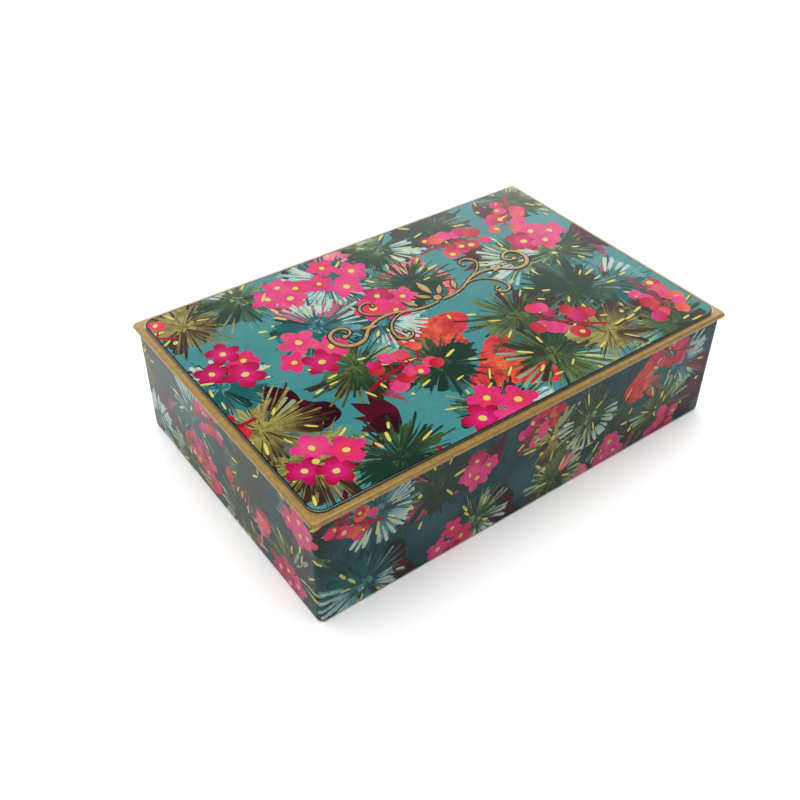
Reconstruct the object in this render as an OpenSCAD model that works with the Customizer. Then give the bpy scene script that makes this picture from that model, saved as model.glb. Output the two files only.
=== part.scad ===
// Hinged tinplate gift tin: a printed shallow box, its flat lid with a raised panel inside a
// gold border, a base seamed into the wall, and two short hinge wires along the rear edge.
// Origin: middle of the base on the surface it stands on. +X runs along the long side,
// -Y is the side that opens, +Y is the hinge side, +Z is up.

/* [Lid] */
// Length over the lid's edge
lid_l = 186; // [150:1:230]
// Depth over the lid's edge, front to hinge side
lid_d = 124; // [100:1:160]
// Corner radius of the lid's edge
lid_r = 1.8; // [1.7:0.1:3]
// Radius of the rolled edge where the border turns down
edge_r = 1; // [0.8:0.1:1.1]
// Width of the flat border around the raised panel
border_w = 2.5; // [2.2:0.1:5]
// Height of the panel above the border
panel_rise = 0.9; // [0.8:0.1:1.5]
// Corner radius of the raised panel
panel_r = 5; // [3:0.5:10]

/* [Body] */
// Height of the lid's border above the surface the tin stands on
border_z = 48; // [36:1:70]
// How far the lid's edge stands out over the wall
overhang = 1.3; // [1.2:0.1:1.6]
// Corner radius of the wall
body_r = 2.5; // [2.2:0.1:6]
// How far the neck under the lid is set in
neck_in = 0.5; // [0.4:0.1:0.8]
// Radius where the wall turns under the base
foot_r = 1.2; // [1.1:0.1:1.6]
// Thickness of the tinplate
sheet_t = 0.25; // [0.2:0.01:0.28]

/* [Base] */
// Width of the flat seam that joins the base to the wall
seam_w = 4; // [3.5:0.1:6]
// Distance from the wall's face to the base's stamped field
field_in = 7; // [6:0.5:12]
// Height of the stamped field above the seam
field_rise = 0.8; // [0.7:0.1:1.5]

/* [Hinge] */
// Diameter of a hinge wire
wire_d = 0.9; // [0.7:0.05:0.95]
// Length of a hinge wire
wire_l = 36; // [24:1:50]
// Running clearance around a wire
wire_gap = 0.04; // [0.03:0.01:0.06]
// Distance from the middle of the tin to the middle of each hinge
hinge_x = 52; // [30:1:60]
// Width of a body knuckle
knuckle_w = 12; // [8:1:16]
// Gap between a knuckle and the window it turns in
knuckle_gap = 0.5; // [0.3:0.1:1]

/* [Ornament] */
// Height of the stamped flourish above the panel
flourish_h = 0.35; // [0.2:0.05:0.5]
// Middle of the flourish along the lid
flourish_x = 8; // [-10:1:12]
// Middle of the flourish across the lid
flourish_y = 9; // [-15:1:15]
// Slope of the flourish against the long side, in degrees
flourish_turn = 3; // [-8:1:8]
// Size of the flourish: 1 is 131 mm long
flourish_scale = 0.77; // [0.5:0.01:1]

/* [Hidden] */
$fn = 48;

cut = 0.5;                                  // overshoot of a cutting shape
lid_gap = 0.15;                             // room between the wall's top curl and the lid
body_l = lid_l - 2 * overhang;
body_d = lid_d - 2 * overhang;

bore_r = wire_d / 2 + wire_gap;
curl_r = bore_r + sheet_t;                  // outer radius of the lid's curl and the knuckles
wire_z = border_z - 1.25;                   // height of the hinge axis and the curl's middle
hinge_y = lid_d / 2 - curl_r;               // the rear curl is concentric with the hinge
window_top = border_z - 0.4;                // upper edge of the windows in the lid's edge
window_w = knuckle_w + 2 * knuckle_gap;
crimp_l = 0.8;                              // pinched end of the curl that keeps a wire in

top_curl_r = 0.6;                           // safe edge, curled inwards
top_curl_z = border_z - sheet_t - lid_gap - top_curl_r;
step_top = wire_z - curl_r - 0.3;           // the neck starts just under the lid's curl
step_low = step_top - neck_in;

riser_low_r = 0.25;                         // inside radius where the border meets the riser
riser_top_r = 0.4;                          // outside radius at the raised edge
panel_l = lid_l - 2 * border_w;
panel_d = lid_d - 2 * border_w;
panel_z = border_z + panel_rise;

fold_in = foot_r + 0.6;                     // where the base folds around the wall's hem
fold_r = 1.5 * sheet_t;                     // outside radius of a closed fold
base_z = 4 * sheet_t;                       // top of the base's seamed rim
hook_end = seam_w - 0.4;                    // free end of the base's hook inside the hem
seam_r = 1;                                 // corner radius of the flat seam's folds
field_r = 6;                                // corner radius of the stamped field

side_seam_w = 4.8;                          // flattened lock seam down the rear wall
side_seam_groove = 0.12;

// ---- shared shapes ----

module rounded_rect(l, d, r) {
    square([l - 2 * r, d], center = true);
    square([l, d - 2 * r], center = true);
    for (sx = [-1, 1], sy = [-1, 1])
        translate([sx * (l / 2 - r), sy * (d / 2 - r)]) circle(r);
}

// A sheet whose upper face is at height top.
module plate(l, d, r, top) {
    translate([0, 0, top - sheet_t])
        linear_extrude(sheet_t) rounded_rect(l, d, r);
}

// A flat frame of sheet. Each edge is [inset from the l by d outline, corner radius].
module frame(l, d, outer, inner, top) {
    translate([0, 0, top - sheet_t])
        linear_extrude(sheet_t)
            difference() {
                rounded_rect(l - 2 * outer[0], d - 2 * outer[0], outer[1]);
                rounded_rect(l - 2 * inner[0], d - 2 * inner[0], inner[1]);
            }
}

// Sweeps a profile around a rounded rectangle. The profile's x is the distance outwards
// from the outline, and its y is the height.
module around(l, d, r) {
    for (quarter = [0:3]) {
        reach = (quarter % 2 == 0 ? l : d) / 2;
        side = quarter % 2 == 0 ? d : l;
        rotate([0, 0, 90 * quarter]) {
            translate([reach, 0, 0])
                rotate([90, 0, 0])
                    linear_extrude(side - 2 * r, center = true) children();
            translate([reach - r, side / 2 - r, 0])
                rotate_extrude(angle = 90)
                    translate([r, 0]) children();
        }
    }
}

// A quarter turn of sheet with outer radius r, in the quadrant given by the signs sx and sy.
module bend(r, sx, sy) {
    intersection() {
        difference() {
            circle(r);
            circle(r - sheet_t);
        }
        translate([min(sx, 0) * r, min(sy, 0) * r]) square(r);
    }
}

// A closed fold of sheet around its own thickness: half a ring on the side given by sx.
module fold(sx) {
    bend(fold_r, sx, 1);
    bend(fold_r, sx, -1);
}

// The S-shaped step from a plate whose top is at height low up to one at low + rise.
// Its riser's outer face is at x = 0, and the high side is at negative x.
module step_profile(low, rise) {
    translate([riser_low_r, low + riser_low_r]) bend(riser_low_r + sheet_t, -1, -1);
    translate([-sheet_t, low + riser_low_r])
        square([sheet_t, rise - riser_low_r - riser_top_r]);
    translate([-riser_top_r, low + rise - riser_top_r]) bend(riser_top_r, 1, 1);
}

module stamped_step(l, d, r, low, rise) {
    around(l, d, r) step_profile(low, rise);
    plate(l - 2 * riser_top_r, d - 2 * riser_top_r, r - riser_top_r, low + rise);
}

// ---- ornament ----

// The right half of the flourish, before scaling. Each stroke is [start, heading, arcs,
// width], and each arc [radius, turn], where a positive turn is to the left. An arc starts
// where the last one ended, in the same direction.
strokes = [
    [[1.5, -3], -8, [[30, 38], [21, -78], [8.6, 160], [5.6, 120], [3.2, 150]], 1.8],
    [[20, 0.2], 8, [[14, -95], [4.2, -150], [2.2, -120]], 1.2],
    [[27, 4], 12, [[16, 40], [5, 140], [2.6, 120]], 1.1],
];
// Each leaf is [length, width, foot, direction].
leaves = [
    [13, 4, [0, 3.5], 90],
    [9, 2.8, [2.2, 1], 48],
    [9, 2.8, [12, -0.5], 62],
    [9, 2.6, [37.5, -0.8], 20],
];
turn_step = 10;                             // degrees between the points of a stroke

function left_of(h) = [-sin(h), cos(h)];
// Points along a chain of arcs, each with its heading: [point, heading].
function along(p, h, arcs, i = 0) =
    i == len(arcs) ? [[p, h]] :
    let (
        radius = arcs[i][0],
        turn = arcs[i][1],
        reach = sign(turn) * radius,
        middle = p + reach * left_of(h),
        steps = ceil(abs(turn) / turn_step)
    )
    concat(
        [for (k = [0:steps - 1])
            let (heading = h + turn * k / steps)
            [middle - reach * left_of(heading), heading]],
        along(middle - reach * left_of(h + turn), h + turn, arcs, i + 1)
    );
// A brush's width: it swells in the first third of a stroke and thins out to the end.
function brush(t) = t < 0.35 ? 0.7 + 0.55 * t / 0.35 : 1.25 - 0.7 * (t - 0.35) / 0.65;

module stroke(start, heading, arcs, width) {
    path = along(start, heading, arcs);
    last = len(path) - 1;
    polygon([
        for (k = [0:last])
            path[k][0] + width / 2 * brush(k / last) * left_of(path[k][1]),
        for (k = [last:-1:0])
            path[k][0] - width / 2 * brush(k / last) * left_of(path[k][1]),
    ]);
    translate(path[last][0]) circle(0.75 * width, $fn = 24);
}

// A pointed leaf along +X from its foot, with an even curve on both sides.
module leaf(l, w) {
    polygon([
        for (t = [0:0.1:1]) [l * t, w / 2 * sin(180 * t)],
        for (t = [0.9:-0.1:0.1]) [l * t, -w / 2 * sin(180 * t)],
    ]);
}

module flourish_half() {
    for (s = strokes) stroke(s[0], s[1], s[2], s[3]);
    for (f = leaves) translate(f[2]) rotate([0, 0, f[3]]) leaf(f[0], f[1]);
}

module flourish() {
    translate([flourish_x, flourish_y, panel_z - sheet_t / 2])
        rotate([0, 0, flourish_turn])
            linear_extrude(flourish_h + sheet_t / 2)
                scale(flourish_scale) {
                    translate([0, -0.5]) circle(2.2);
                    flourish_half();
                    mirror([1, 0]) flourish_half();
                }
}

// ---- body ----

module wall_profile() {
    neck_x = -neck_in - sheet_t;
    // from the foot up to the neck
    translate([-foot_r, foot_r]) bend(foot_r, 1, -1);
    translate([-sheet_t, foot_r]) square([sheet_t, step_low - foot_r]);
    polygon([[-sheet_t, step_low], [0, step_low], [-neck_in, step_top], [neck_x, step_top]]);
    translate([neck_x, step_top]) square([sheet_t, top_curl_z - step_top]);
    // safe edge
    translate([-neck_in - top_curl_r, top_curl_z]) {
        bend(top_curl_r, 1, 1);
        bend(top_curl_r, -1, 1);
        bend(top_curl_r, -1, -1);
    }
}

// The wall's lower edge, turned under the base and folded back over itself.
module wall_hem() {
    frame(body_l, body_d, [foot_r, body_r - foot_r], [seam_w, seam_r], sheet_t);
    frame(body_l, body_d, [fold_in, seam_r], [seam_w, seam_r], 3 * sheet_t);
    around(body_l - 2 * seam_w, body_d - 2 * seam_w, seam_r)
        translate([0, fold_r]) fold(-1);
}

// Room for a knuckle: the wall's top edge is slit and bent outwards here.
module knuckle_notch() {
    strap_top = wire_z - bore_r;
    translate([-window_w / 2, body_d / 2 - 4, strap_top])
        cube([window_w, 4 + cut, border_z - strap_top]);
}

// A tongue of the wall bent outwards under the wire and curled round it.
module knuckle() {
    translate([-knuckle_w / 2, 0, wire_z])
        rotate([90, 0, 90])
            linear_extrude(knuckle_w) {
                translate([hinge_y, 0])
                    difference() {
                        circle(curl_r);
                        circle(bore_r);
                        translate([-curl_r - cut, -bore_r]) square([curl_r + cut, bore_r]);
                    }
                strap_from = body_d / 2 - neck_in - sheet_t;
                translate([strap_from, -curl_r]) square([hinge_y - strap_from, sheet_t]);
            }
}

module side_seam() {
    inner = body_d / 2 - sheet_t;
    translate([-side_seam_w / 2, inner - 2 * sheet_t, foot_r + 0.4])
        cube([side_seam_w, 2 * sheet_t + sheet_t / 2, step_low - foot_r - 1]);
}

module side_seam_line() {
    translate([side_seam_w / 2, body_d / 2 - side_seam_groove, foot_r])
        cube([side_seam_groove, side_seam_groove + cut, step_low - foot_r]);
}

module body_wall() {
    color([0.24, 0.45, 0.45]) {
        difference() {
            union() {
                around(body_l, body_d, body_r) wall_profile();
                wall_hem();
                side_seam();
            }
            for (side = [-1, 1]) translate([side * hinge_x, 0, 0]) knuckle_notch();
            side_seam_line();
        }
        for (side = [-1, 1]) translate([side * hinge_x, 0, 0]) knuckle();
    }
}

// ---- base ----

module base_panel() {
    field_l = body_l - 2 * field_in;
    field_d = body_d - 2 * field_in;
    color([0.78, 0.72, 0.55]) {
        // hook inside the wall's hem, the fold around it and the rim over it
        frame(body_l, body_d, [fold_in, seam_r], [hook_end, seam_r], 2 * sheet_t);
        around(body_l - 2 * fold_in, body_d - 2 * fold_in, seam_r)
            translate([0, base_z - fold_r]) fold(1);
        frame(body_l, body_d, [fold_in, seam_r],
            [field_in - riser_low_r, field_r + riser_low_r], base_z);
        stamped_step(field_l, field_d, field_r, base_z, field_rise);
    }
}

// ---- lid ----

module lid_edge_profile() {
    translate([-edge_r, border_z - edge_r]) bend(edge_r, 1, 1);
    translate([-sheet_t, wire_z]) square([sheet_t, border_z - edge_r - wire_z]);
    translate([-curl_r, wire_z]) {
        bend(curl_r, 1, -1);
        bend(curl_r, -1, -1);
        bend(curl_r, -1, 1);
    }
}

module lid_window() {
    translate([-window_w / 2, hinge_y - curl_r - 0.2, wire_z - curl_r - cut])
        cube([window_w, 2 * curl_r + 0.2 + cut, window_top - wire_z + curl_r + cut]);
}

// The curl is pinched shut just past both ends of a wire.
module crimps() {
    for (end = [-1, 1])
        translate([end * (wire_l / 2 + 0.1 + crimp_l / 2), hinge_y, wire_z])
            rotate([0, 90, 0])
                cylinder(r = bore_r + sheet_t / 2, h = crimp_l, center = true);
}

module lid() {
    color([0.65, 0.51, 0.31]) {
        difference() {
            around(lid_l, lid_d, lid_r) lid_edge_profile();
            for (side = [-1, 1]) translate([side * hinge_x, 0, 0]) lid_window();
        }
        for (side = [-1, 1]) translate([side * hinge_x, 0, 0]) crimps();
        frame(lid_l, lid_d, [edge_r, lid_r - edge_r],
            [border_w - riser_low_r, panel_r + riser_low_r], border_z);
        stamped_step(panel_l, panel_d, panel_r, border_z, panel_rise);
        flourish();
    }
}

// ---- hinge wires ----

module hinge_wire(side) {
    color("silver")
        translate([side * hinge_x, hinge_y, wire_z])
            rotate([0, 90, 0])
                cylinder(d = wire_d, h = wire_l, center = true);
}

module hinge_wire_left() {
    hinge_wire(-1);
}

module hinge_wire_right() {
    hinge_wire(1);
}

body_wall();
base_panel();
lid();
hinge_wire_left();
hinge_wire_right();
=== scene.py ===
import math
import random

import bpy
import numpy as np
from mathutils import Matrix, Vector
from mathutils.bvhtree import BVHTree
from mathutils.geometry import delaunay_2d_cdt
from mathutils.kdtree import KDTree


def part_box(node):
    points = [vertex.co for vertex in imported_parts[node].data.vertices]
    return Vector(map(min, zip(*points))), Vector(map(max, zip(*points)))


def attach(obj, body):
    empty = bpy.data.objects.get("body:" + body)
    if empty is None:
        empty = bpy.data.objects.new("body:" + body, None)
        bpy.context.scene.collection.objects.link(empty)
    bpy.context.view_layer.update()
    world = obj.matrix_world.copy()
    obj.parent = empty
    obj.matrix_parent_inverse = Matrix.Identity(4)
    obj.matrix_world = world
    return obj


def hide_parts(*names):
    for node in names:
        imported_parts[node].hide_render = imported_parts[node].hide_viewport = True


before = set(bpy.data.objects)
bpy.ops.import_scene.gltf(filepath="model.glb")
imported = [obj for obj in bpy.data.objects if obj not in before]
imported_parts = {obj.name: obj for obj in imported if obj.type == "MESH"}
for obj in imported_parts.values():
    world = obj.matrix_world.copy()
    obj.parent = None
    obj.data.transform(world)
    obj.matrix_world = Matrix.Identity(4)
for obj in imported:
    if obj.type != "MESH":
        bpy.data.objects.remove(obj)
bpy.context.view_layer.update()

MM = 0.001

# ---- sizes in mm, the same as in the CAD source, with the outer ones read from it ----

LID_LOW, LID_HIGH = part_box("lid")
LID_L = round((LID_HIGH.x - LID_LOW.x) / MM, 3)
LID_D = round((LID_HIGH.y - LID_LOW.y) / MM, 3)
WALL_LOW, WALL_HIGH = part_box("body_wall")
WALL_L = round((WALL_HIGH.x - WALL_LOW.x) / MM, 3)
OVERHANG = (LID_L - WALL_L) / 2
WALL_D = LID_D - 2 * OVERHANG

BORDER_W, BORDER_Z, LID_R, EDGE_R = 2.5, 48.0, 1.8, 1.0
PANEL_RISE, PANEL_R = 0.9, 5.0
RISER_TOP_R = 0.4
PANEL_Z = BORDER_Z + PANEL_RISE
TOP_INSET = BORDER_W + RISER_TOP_R           # where the panel's flat print begins
CURL_R, WIRE_Z = 0.74, 46.75
WALL_R, FOOT_R, NECK_IN = 2.5, 1.2, 0.5
STEP_TOP = WIRE_Z - CURL_R - 0.3
STEP_LOW = STEP_TOP - NECK_IN
GROOVE_AT, GROOVE_W = 2.4, 0.12
ARC_STEPS = 11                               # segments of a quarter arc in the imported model
FLOURISH_RISE = 0.35

# ---- inks, as 8-bit sRGB ----

INKS = {
    "teal": (70, 134, 135), "deep_teal": (26, 88, 92), "teal_wash": (58, 126, 128),
    "mist": (108, 160, 160), "mint": (188, 202, 192), "sage": (140, 168, 126),
    "olive": (112, 120, 60), "moss": (64, 86, 50), "pine": (24, 54, 42), "night": (16, 18, 20),
    "khaki": (156, 146, 80), "umber": (60, 42, 32), "butter": (212, 199, 102),
    "blush": (222, 140, 158), "pink": (217, 84, 116), "fuchsia": (220, 42, 128),
    "coral": (215, 58, 70), "apricot": (232, 110, 70),
    "crimson": (158, 14, 42), "burgundy": (84, 18, 36), "wine": (44, 12, 22),
    "mauve": (170, 94, 116),
    "dusk": (14, 52, 57), "slate": (44, 86, 92),
}
INK_DEPTH = 0.62                             # the varnish darkens every ink


def linear(rgb):
    return tuple(
        c / 255 / 12.92 if c / 255 <= 0.04045 else ((c / 255 + 0.055) / 1.055) ** 2.4
        for c in rgb
    )


INK = {name: INK_DEPTH * np.array(linear(rgb)) for name, rgb in INKS.items()}


# ---- the print: flat shapes laid over each other, the later ones on top ----


class Print:
    """Shapes in mm on a flat sheet. Each has an ink that runs from one colour to another
    along an axis or out from a middle, and a second ink that the wash mottles it with."""

    def __init__(self, ground, ground_wash):
        self.points, self.faces, self.lines, self.paint, self.slots = [], [], [], [], []
        self.dashes = []                     # middles of the yellow dashes, which keep apart
        self.ground = (ground, ground_wash)

    def add(self, outline, ink, to=None, wash=None, start=None, end=None, mottle=0.5,
            radial=False, slot=0):
        outline = counter_clockwise(outline)
        first = len(self.points)
        self.points.extend(outline)
        self.faces.append(list(range(first, len(self.points))))
        a = INK[ink] if isinstance(ink, str) else ink
        b = a if to is None else INK[to] if isinstance(to, str) else to
        w = 0.62 * (a + b) / 2 if wash is None else INK[wash]
        start = start or outline[0]
        end = (start[0] + 1, start[1]) if end is None else end
        self.paint.append((*a, *b, *w, *start, *end, mottle, float(radial)))
        self.slots.append(slot)

    def line(self, a, b):
        """An edge that the triangles have to follow."""
        first = len(self.points)
        self.points.extend([a, b])
        self.lines.append((first, first + 1))


def counter_clockwise(outline):
    area = sum(a[0] * b[1] - b[0] * a[1] for a, b in zip(outline, outline[1:] + outline[:1]))
    return outline if area > 0 else outline[::-1]


def turned(x, y, a):
    return x * math.cos(a) - y * math.sin(a), x * math.sin(a) + y * math.cos(a)


def placed(points, at, a):
    return [(at[0] + p[0], at[1] + p[1]) for p in (turned(x, y, a) for x, y in points)]


def blob(at, r, rng, squash=1.0, a=0.0, wobble=0.08, n=14, rough=0.0):
    """A closed, slightly uneven round shape. rough makes its edge ragged."""
    phases = [rng.uniform(0, 2 * math.pi) for _ in range(3)]
    points = []
    for k in range(n):
        t = 2 * math.pi * k / n
        q = r * (1 + rng.uniform(-rough, rough) + wobble * sum(
            math.sin((i + 2) * t + phases[i]) / (i + 1) for i in range(3)))
        points.append((q * math.cos(t), q * squash * math.sin(t)))
    return placed(points, at, a)


def needle_outline(length, width, rng, bend=0.0, root=0.3, split=False, n=3):
    """A brush stroke along +X: thin at its root, widest near its blunt end."""
    if width < 0.9:
        w, y = width / 2, bend * length
        return [(0, -0.2 * w), (0.6 * length, 0.4 * y - w), (length, y), (0.6 * length, 0.4 * y + w),
                (0, 0.2 * w)]
    side = []
    for k in range(n + 1):
        t = k / n
        half = width / 2 * (root + (1 - root) * math.sin(math.pi / 2 * min(1, t * 1.25)))
        side.append((t * length * 0.94, half * rng.uniform(0.86, 1.12)))
    top = [(x, bend * x * x / length + h) for x, h in side]
    low = [(x, bend * x * x / length - h) for x, h in side]
    tip_y = bend * length
    w = width / 2
    if split:
        tip = [(length * 1.02, tip_y + 0.55 * w), (length * 0.9, tip_y + 0.1 * w),
               (length * 0.98, tip_y - 0.5 * w)]
    else:
        tip = [(length * 0.985, tip_y + 0.62 * w), (length, tip_y),
               (length * 0.985, tip_y - 0.62 * w)]
    return top + tip + low[::-1]


def needle(sheet, root_at, a, length, width, rng, ink, to=None, wash=None, mottle=0.6):
    outline = needle_outline(length, width, rng, bend=rng.uniform(-0.12, 0.12),
                             split=rng.random() < 0.22)
    end = placed([(length, 0)], root_at, a)[0]
    sheet.add(placed(outline, root_at, a), ink, to, wash, root_at, end, mottle)


def dash(sheet, at, a, length, width, rng, ink="butter"):
    if any(math.hypot(at[0] - x, at[1] - y) < 0.85 * length for x, y in sheet.dashes):
        return
    sheet.dashes.append(at)
    half = length / 2
    w = width / 2
    outline = [(-half, -w * 0.3), (-half * 0.5, -w), (half * 0.6, -w * rng.uniform(0.8, 1.1)),
               (half, -w * 0.35), (half * 0.98, w * 0.4), (half * 0.5, w),
               (-half * 0.6, w * rng.uniform(0.7, 1.1)), (-half, w * 0.3)]
    sheet.add(placed(outline, at, a), ink, wash="khaki", mottle=0.25)


def dot(sheet, at, r, rng, ink="butter"):
    sheet.add(blob(at, r, rng, squash=rng.uniform(0.8, 1), a=rng.uniform(0, 3), wobble=0.05,
                   n=12), ink, wash="khaki" if ink == "butter" else None, mottle=0.25)


def crescent(sheet, at, r, a, rng, ink="butter", thick=0.45):
    outer = [(r * math.cos(t), r * math.sin(t)) for t in np.linspace(-1.5, 1.5, 9)]
    inner = [(r * math.cos(t) * (1 - thick), r * math.sin(t)) for t in np.linspace(1.3, -1.3, 7)]
    sheet.add(placed(outer + inner, at, a), ink, wash="khaki", mottle=0.25)


def burst(sheet, at, r, rng, light=0.0, root="olive", tip="mint", middle="sage",
          dark="pine", shade="night", count=46, width=2.0, dashes=8, pale_share=0.6,
          cloud=0.62):
    """A pine sprig seen from above. Needles on the side that the angle light points to
    are pale and the others dark. cloud is the reach of the dark wash under it."""
    def angle():
        return rng.uniform(-math.pi, math.pi)

    def towards_light(a):
        return 0.5 + 0.5 * math.cos(a - light)

    def foot(a, share):
        return placed([(r * share, 0)], at, a)[0]

    def tuft(a, share, reach, wide, number, ink, to, wash=None, gap=0.11):
        """A few needles side by side, like the teeth of a comb."""
        step = gap * rng.uniform(0.75, 1.25)
        for i in range(number):
            b = a + (i - number / 2) * step + rng.uniform(-0.03, 0.03)
            needle(sheet, foot(b, share + rng.uniform(0, 0.08)), b + rng.uniform(-0.05, 0.05),
                   r * reach * rng.uniform(0.7, 1.06), wide * rng.uniform(0.55, 1.05), rng,
                   ink, to, wash)

    if cloud:
        middle_of_wash = foot(light + math.pi, 0.18)
        sheet.add(blob(middle_of_wash, r * cloud, rng, wobble=0.22, n=40, rough=0.07), dark,
                  0.55 * INK[dark] + 0.45 * INK[sheet.ground[0]], root, middle_of_wash,
                  (middle_of_wash[0] + r * cloud, middle_of_wash[1]), 0.45, radial=True)
    for k in range(int(count * 0.4)):        # shadow under the sprig
        a = angle()
        if towards_light(a) > rng.uniform(0.3, 1.0):
            continue
        needle(sheet, foot(a, rng.uniform(0, 0.2)), a + rng.uniform(-0.3, 0.3),
               r * rng.uniform(0.4, 0.8), width * rng.uniform(1.2, 2.2), rng,
               rng.choice([shade, dark, dark]), shade)
    for k in range(int(count * 1.3)):
        a = angle()
        needle(sheet, foot(a, 0.1), a + rng.uniform(-0.22, 0.22), r * rng.uniform(0.5, 1.02),
               width * rng.uniform(0.22, 0.6), rng, rng.choice([shade, dark, root]),
               rng.choice([dark, middle, root]), "umber")
    for k in range(int(count * 0.16)):
        a = angle()
        pale = towards_light(a) > rng.uniform(0.25, 0.75)
        tuft(a, 0.05, rng.uniform(0.5, 0.85), width * 0.8, rng.randint(3, 6), root,
             middle if pale else dark, dark)
    sheet.add(blob(at, r * 0.15, rng, wobble=0.35, rough=0.1), root, middle, dark, at,
              (at[0] + r * 0.17, at[1]), 0.8, radial=True)
    for k in range(int(count * 0.5)):        # fine strokes that cross the middle
        a = angle()
        needle(sheet, foot(a, rng.uniform(-0.12, 0.05)), a + rng.uniform(-0.3, 0.3),
               r * rng.uniform(0.15, 0.4), width * rng.uniform(0.2, 0.45), rng,
               rng.choice([root, middle, dark]), rng.choice([root, dark]))
    for k in range(int(count * pale_share * 0.34)):
        a = angle()
        if towards_light(a) < rng.uniform(0.2, 0.7):
            continue
        tuft(a, rng.uniform(0.26, 0.46), rng.uniform(0.42, 0.64), width * 0.9,
             rng.randint(2, 4), rng.choice([middle, tip, tip]), tip, "mist", 0.19)
    for k in range(int(count * 0.45)):
        a = angle()
        needle(sheet, foot(a, rng.uniform(0.15, 0.6)), a + rng.uniform(-0.12, 0.12),
               r * rng.uniform(0.2, 0.45), width * rng.uniform(0.15, 0.35), rng,
               rng.choice([dark, shade, root]))
    for k in range(int(dashes * 1.4)):
        a = angle()
        far = rng.uniform(0.35, 0.98)
        dash(sheet, foot(a, far), a + rng.uniform(-0.25, 0.25), rng.uniform(3.2, 6.2),
             rng.uniform(0.75, 1.2), rng)


def petal(sheet, at, r, a, rng, inner, outer, wash, squash=0.75, wobble=0.12, n=40,
          rough=0.02):
    """A big petal in wet watercolour: the colour runs across it and pools at one side."""
    outline = blob(at, r, rng, squash, a, wobble, n, rough)
    low, high = placed([(-r, r * 0.3), (r, -r * 0.3)], at, a)
    sheet.add(outline, outer, inner, wash, low, high, 0.9)
    for share, depth in ((0.8, 0.35), (0.58, 0.6)):
        middle = placed([(r * (1 - share) * 0.7, -r * (1 - share) * 0.4)], at, a)[0]
        start, end = placed([(-r * share, r * 0.3), (r * share, -r * 0.3)], middle, a)
        base = (1 - depth) * INK[outer] + depth * INK[wash]
        sheet.add(blob(middle, r * share, rng, squash, a, wobble * 1.6, n, rough * 2), base,
                  inner, wash, start, end, 0.8)


def berry(sheet, at, r, rng, ink="coral", to=None, eye=None):
    to = to or ink
    sheet.add(blob(at, r, rng, squash=rng.uniform(0.82, 1), a=rng.uniform(0, 3), wobble=0.05),
              ink, to, None, (at[0] - r, at[1] + r), (at[0] + r, at[1] - r), 0.6)
    turn = rng.uniform(0, 6.28)
    if eye == "rim":
        crescent(sheet, placed([(r * 0.1, 0)], at, turn)[0], r * 0.85, turn, rng, "crimson", 0.3)
    elif eye:
        dot(sheet, placed([(r * 0.3, 0)], at, turn)[0], r * rng.uniform(0.3, 0.42), rng, eye)


def stem(sheet, points, width, rng, ink="coral"):
    """A thin tapering twig through a few points."""
    left, right = [], []
    for k, p in enumerate(points):
        q = points[min(k + 1, len(points) - 1)]
        o = points[max(k - 1, 0)]
        d = math.hypot(q[0] - o[0], q[1] - o[1])
        nx, ny = -(q[1] - o[1]) / d, (q[0] - o[0]) / d
        w = width / 2 * (1 - 0.6 * k / (len(points) - 1))
        left.append((p[0] + nx * w, p[1] + ny * w))
        right.append((p[0] - nx * w, p[1] - ny * w))
    sheet.add(left + right[::-1], ink, mottle=0.5)


def berry_sprig(sheet, at, a, rng, inks, length=22, size=3.0, count=9, twig="coral"):
    """A branching twig with berries at the ends of its side shoots."""
    spine = [placed([(length * t, 2.2 * math.sin(2.4 * t))], at, a)[0]
             for t in np.linspace(0, 1, 6)]
    stem(sheet, spine, 1.5, rng, twig)
    ends = []
    for k in range(count):
        t = 0.2 + 0.8 * k / (count - 1)
        side = -1 if k % 2 else 1
        foot = placed([(length * t, 2.2 * math.sin(2.4 * t))], at, a)[0]
        reach = size * rng.uniform(1.2, 2.3)
        turn = a + side * rng.uniform(0.7, 1.5)
        end = placed([(reach, 0)], foot, turn)[0]
        stem(sheet, [foot, ((foot[0] + end[0]) / 2 + 0.2, (foot[1] + end[1]) / 2), end], 0.9,
             rng, twig)
        ends.append(end)
    for end in ends:
        ink, to = rng.choice(inks)
        eye = rng.choice([None, None, None, "butter", "rim"])
        berry(sheet, end, size * rng.uniform(0.8, 1.15), rng, ink, to, eye)


def blossom(sheet, at, r, rng, ink="fuchsia", to="pink", eye="butter"):
    turn = rng.uniform(0, 6.28)
    for k in range(5):
        a = turn + k * 2 * math.pi / 5 + rng.uniform(-0.15, 0.15)
        middle = placed([(r * 0.58, 0)], at, a)[0]
        sheet.add(blob(middle, r * 0.48, rng, squash=0.82, a=a, wobble=0.09, n=12), ink, to,
                  None, at, placed([(r, 0)], at, a)[0], 0.6)
    if eye:
        dot(sheet, at, r * 0.2, rng, eye)


def pointed_leaf(sheet, at, length, width, a, rng, ink, to, wash=None):
    top, low = [], []
    for t in np.linspace(0, 1, 11):
        half = width / 2 * math.sin(math.pi * t ** 0.8) * rng.uniform(0.95, 1.05)
        top.append((length * t, half + 0.08 * length * math.sin(3 * t)))
        low.append((length * t, -half + 0.08 * length * math.sin(3 * t)))
    sheet.add(placed(top + low[1:-1][::-1], at, a), ink, to, wash, at,
              placed([(length, 0)], at, a)[0], 0.8)


def scatter(sheet, box, count, rng):
    for k in range(count):
        at = (rng.uniform(box[0], box[2]), rng.uniform(box[1], box[3]))
        if rng.random() < 0.35:
            dot(sheet, at, rng.uniform(0.5, 1.3), rng)
        else:
            dash(sheet, at, rng.uniform(0, 3.14), rng.uniform(2.5, 5.5), rng.uniform(0.7, 1.1), rng)


# ---- the ornament, with the same strokes as in the CAD source ----

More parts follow.
